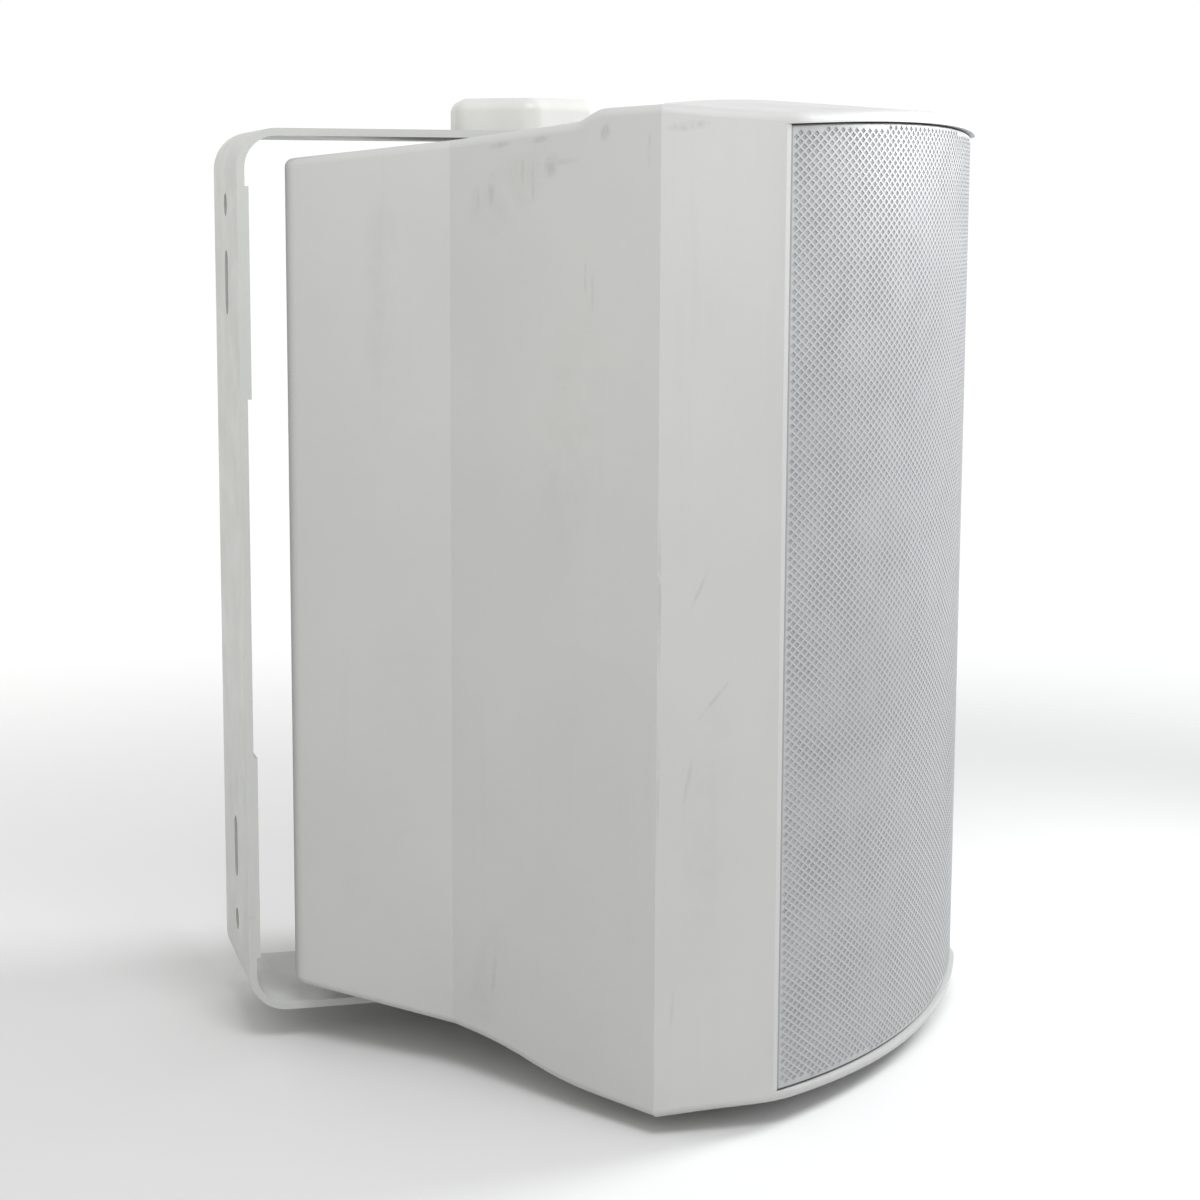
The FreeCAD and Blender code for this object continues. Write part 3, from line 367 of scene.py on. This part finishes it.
last_arc = half_arc - plain_border - open_share * hole_column
reach_lines = int((half_arc / hole_column + grille_half_height / hole_row) / 2) + 2
holes = []
for line in range(-reach_lines, reach_lines + 1):
    for row in range(-reach_lines, reach_lines + 1):
        arc = (line - row) * hole_column
        height = (line + row) * hole_row
        if abs(arc) > last_arc:
            continue
        if abs(height) < sheet_half_height(arc) - plain_border - open_share * hole_row:
            holes.append((2 * line, 2 * row))

present = set(holes)
webs = []
for line, row in holes:
    beside, above = (line + 2, row) in present, (line, row + 2) in present
    if beside:
        webs.append((line + 1, row))
    if above:
        webs.append((line, row + 1))
    if beside and above and (line + 2, row + 2) in present:
        webs.append((line + 1, row + 1))

covered = present | set(webs)
flat = bmesh.new()
corner = {}


def corner_at(line, row):
    if (line, row) not in corner:
        arc, height = lattice_point(line, row)
        corner[(line, row)] = flat.verts.new((arc, height, 0.0))
    return corner[(line, row)]


def square_at(line, row):
    keys = ((line, row), (line + 1, row), (line + 1, row + 1), (line, row + 1))
    return [corner_at(*key) for key in keys]


for line, row in webs:
    flat.faces.new(square_at(line, row))
hole_rims = [square_at(line, row) for line, row in holes]
rim_edges = set()
for rim in hole_rims:
    for index in range(4):
        pair = (rim[index], rim[(index + 1) % 4])
        rim_edges.add(flat.edges.get(pair) or flat.edges.new(pair))
zigzag = []
for edge in flat.edges:
    if len(edge.link_faces) == (0 if edge in rim_edges else 1):
        zigzag.append(edge)


def outline_loop(inset, depth):
    loop = []
    for side in (-1, 1):
        for index in range(arc_steps + 1):
            arc = side * (2 * index / arc_steps - 1) * (inset - half_arc)
            height = side * (sheet_half_height(arc) - inset)
            loop.append(flat.verts.new((arc, height, -depth)))
        for index in range(1, side_steps):
            loop.append(flat.verts.new((arc, height * (1 - 2 * index / side_steps), -depth)))
    return loop


def lattice_index(place):
    nearest = round(place)
    offset = place - nearest
    if abs(offset) < open_share / 2:
        return 2 * nearest
    return 2 * nearest + (1 if offset > 0.0 else -1)


def in_lattice(arc, height):
    line = lattice_index((height / hole_row + arc / hole_column) / 2)
    row = lattice_index((height / hole_row - arc / hole_column) / 2)
    return (line, row) in covered


# Plain border between the holes and the edge
def fill_border(edges):
    places = {}
    for edge in edges:
        for vert in edge.verts:
            places.setdefault(vert, len(places))
    verts = list(places)
    pairs = [(places[edge.verts[0]], places[edge.verts[1]]) for edge in edges]
    made = delaunay_2d_cdt([vert.co.xy for vert in verts], pairs, [], 1, 1e-7)
    for face in made[2]:
        corners = [verts[made[3][index][0]] for index in face]
        middle = sum((vert.co for vert in corners), Vector()) / 3
        if not in_lattice(middle.x, middle.y):
            flat.faces.new(corners)


def bridge(first, second):
    for index in range(len(first)):
        following = (index + 1) % len(first)
        flat.faces.new((first[index], first[following], second[following], second[index]))


loops = [outline_loop(inset, depth) for inset, depth in edge_roll]
behind = outline_loop(0.0, sheet_depth)
inner = loops[-1]
inner_edges = []
for index in range(len(inner)):
    inner_edges.append(flat.edges.new((inner[index], inner[(index + 1) % len(inner)])))
fill_border(zigzag + inner_edges)
bridge(behind, loops[0])
bridge(loops[0], loops[1])
bridge(loops[1], loops[2])
top_right = arc_steps + side_steps
top_left = top_right + arc_steps
for index in range(arc_steps):
    rising = behind[arc_steps + 1:top_right] if index == arc_steps - 1 else []
    falling = behind[top_left + 1:] if index == 0 else []
    above = [behind[top_left - index - 1], behind[top_left - index]]
    flat.faces.new([behind[index], behind[index + 1]] + rising + above + falling)
for rim in hole_rims:
    floor = [flat.verts.new((vert.co.x, vert.co.y, -hole_depth)) for vert in rim]
    bridge(rim, floor)
    flat.faces.new(floor).material_index = 1
bmesh.ops.recalc_face_normals(flat, faces=flat.faces)
for vert in flat.verts:
    vert.co = sheet_point(vert.co.x, vert.co.y, -vert.co.z)


# Return: a plain ring from the sheet back to the baffle
def return_loop(inset, to_baffle):
    loop = []
    half_width = grille_half_width - inset
    for side in (-1, 1):
        for index in range(arc_steps + 1):
            lateral = side * (2 * index / arc_steps - 1) * half_width
            height = side * (half_height_at(lateral) - inset)
            reach = crown_centre + math.sqrt((front_radius - sheet_depth) ** 2 - lateral ** 2)
            if to_baffle:
                reach = lip_reach
            loop.append(flat.verts.new(cabinet_point(lateral, reach, height)))
    return loop


outer_front, outer_back = return_loop(return_inset, False), return_loop(return_inset, True)
inner_front, inner_back = return_loop(sheet, False), return_loop(sheet, True)
bridge(outer_front, outer_back)
bridge(outer_back, inner_back)
bridge(inner_back, inner_front)
bridge(inner_front, outer_front)
bmesh.ops.recalc_face_normals(flat, faces=flat.faces)
grille_mesh = bpy.data.meshes.new("perforated_grille")
flat.to_mesh(grille_mesh)
flat.free()
grille = bpy.data.objects.new("perforated_grille", grille_mesh)
bpy.context.scene.collection.objects.link(grille)
grille_mesh.materials.append(grille_paint_with_painted_shade)
grille_mesh.materials.append(materials["grey_cloth"])
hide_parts("grille")
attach(grille, "cabinet")


# Floor: pale, and fading into the surround away from the speaker
def fading_floor():
    s = Shader("floor")
    base = s.blend(s.noise(30.0), rgb(0.700, 0.700, 0.700), rgb(0.710, 0.710, 0.710))
    s.set(Base_Color=base, Roughness=0.9)
    away = s.nodes.new("ShaderNodeVectorMath")
    away.operation = "DISTANCE"
    s.links.new(s.coords, away.inputs[0])
    away.inputs[1].default_value = floor_middle
    mix = s.nodes.new("ShaderNodeMixShader")
    s.links.new(s.remap(away.outputs["Value"], fade_start, fade_end), mix.inputs[0])
    s.links.new(s.bsdf.outputs[0], mix.inputs[1])
    s.links.new(s.nodes.new("ShaderNodeBsdfTransparent").outputs[0], mix.inputs[2])
    s.links.new(mix.outputs[0], s.nodes["Material Output"].inputs["Surface"])
    return s.material


floor_mesh = bpy.data.meshes.new("floor")
floor_corners = []
for x, y in ((-1, -1), (1, -1), (1, 1), (-1, 1)):
    floor_corners.append((x * floor_half, y * floor_half, floor_z))
floor_mesh.from_pydata(floor_corners, [], [(0, 1, 2, 3)])
floor_piece = bpy.data.objects.new("floor", floor_mesh)
bpy.context.scene.collection.objects.link(floor_piece)
floor_mesh.materials.append(fading_floor())

# Light: a pale surround, a soft key from above the camera and a weak fill on the grille
world = bpy.data.worlds.new("surround")
bpy.context.scene.world = world
world.use_nodes = True
backdrop = world.node_tree.nodes["Background"]
split = world.node_tree.nodes.new("ShaderNodeSeparateXYZ")
tint = world.node_tree.nodes.new("ShaderNodeMix")
tint.data_type = "RGBA"
tint.inputs[6].default_value = rgb(0.985, 0.995, 1.0)
tint.inputs[7].default_value = rgb(1.0, 0.990, 0.955)
sideways = world.node_tree.nodes.new("ShaderNodeMapRange")
sideways.inputs["From Min"].default_value = -0.5
sideways.inputs["From Max"].default_value = 1.0
direction = world.node_tree.nodes.new("ShaderNodeTexCoord").outputs["Generated"]
world.node_tree.links.new(direction, split.inputs[0])
world.node_tree.links.new(split.outputs["Y"], sideways.inputs["Value"])
world.node_tree.links.new(sideways.outputs["Result"], tint.inputs[0])
world.node_tree.links.new(tint.outputs[2], backdrop.inputs["Color"])
strength = surround_strength
for axis, low, high, change in surround_changes:
    ramp = world.node_tree.nodes.new("ShaderNodeMapRange")
    ramp.interpolation_type = "SMOOTHSTEP"
    ramp.inputs["From Min"].default_value = low
    ramp.inputs["From Max"].default_value = high
    ramp.inputs["To Max"].default_value = change
    world.node_tree.links.new(split.outputs[axis], ramp.inputs["Value"])
    total = world.node_tree.nodes.new("ShaderNodeMath")
    world.node_tree.links.new(ramp.outputs["Result"], total.inputs[0])
    if isinstance(strength, float):
        total.inputs[1].default_value = strength
    else:
        world.node_tree.links.new(strength, total.inputs[1])
    strength = total.outputs[0]
world.node_tree.links.new(strength, backdrop.inputs["Strength"])


def soft_light(name, place, target, size, power, spread, colour):
    data = bpy.data.lights.new(name, "AREA")
    data.shape = "DISK"
    data.spread = math.radians(spread)
    data.size = size
    data.energy = power
    data.color = colour
    item = bpy.data.objects.new(name, data)
    item.location = place
    item.rotation_euler = (Vector(target) - Vector(place)).to_track_quat("-Z", "Y").to_euler()
    bpy.context.scene.collection.objects.link(item)
    return item


key = soft_light(
    "key", (-0.52, -0.05, 0.62), (-0.05, -0.10, 0.10),
    size=0.4, power=2.9, spread=180.0, colour=(0.97, 0.99, 1.0),
)
fill = soft_light(
    "fill", (0.05, -0.62, 0.25), (-0.03, -0.22, 0.08),
    size=0.25, power=1.5, spread=120.0, colour=(0.98, 0.99, 1.0),
)

# Camera at the photo's place
camera_data = bpy.data.cameras.new("camera")
camera = bpy.data.objects.new("camera", camera_data)
bpy.context.scene.collection.objects.link(camera)
ahead = Vector((
    math.cos(camera_yaw) * math.cos(camera_pitch),
    math.sin(camera_yaw) * math.cos(camera_pitch),
    -math.sin(camera_pitch),
))
right = ahead.cross(Vector((0.0, 0.0, 1.0))).normalized()
upward = right.cross(ahead)
side = right * math.cos(camera_roll) + upward * math.sin(camera_roll)
top = upward * math.cos(camera_roll) - right * math.sin(camera_roll)
turn = Matrix((side, top, -ahead)).transposed().to_4x4()
camera.matrix_world = Matrix.Translation(camera_at) @ turn
camera_data.lens = lens
camera_data.sensor_width = 36.0
camera_data.dof.use_dof = False
bpy.context.scene.camera = camera
bpy.context.scene.view_settings.view_transform = "Standard"
